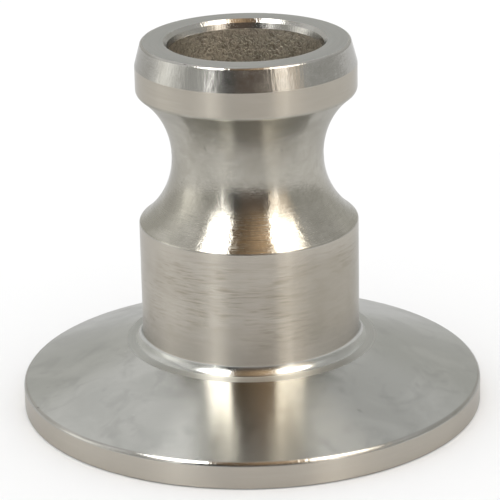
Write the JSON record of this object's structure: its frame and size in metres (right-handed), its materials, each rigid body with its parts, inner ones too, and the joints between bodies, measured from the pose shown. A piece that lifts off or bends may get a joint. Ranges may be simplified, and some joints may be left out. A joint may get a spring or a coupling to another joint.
{
  "type": "cam and groove adapter",
  "caption": "One-piece stainless steel adapter with a grooved coupling head above a round body and a flat clamp ferrule flange.",
  "frame": {"origin": "centre of the gasket face under the flange, which the part stands on", "axes": "+Z along the passage, from the gasket face up to the coupling head; the part is round about Z"},
  "size_m": [0.0506, 0.0506, 0.0408],
  "materials": {
    "stainless_steel": "satin turned outside with polished cone, groove and edges, and a rough cast passage"
  },
  "bodies": {
    "root": {"cam_groove_adapter": "stainless_steel"}
  },
  "joints": []
}
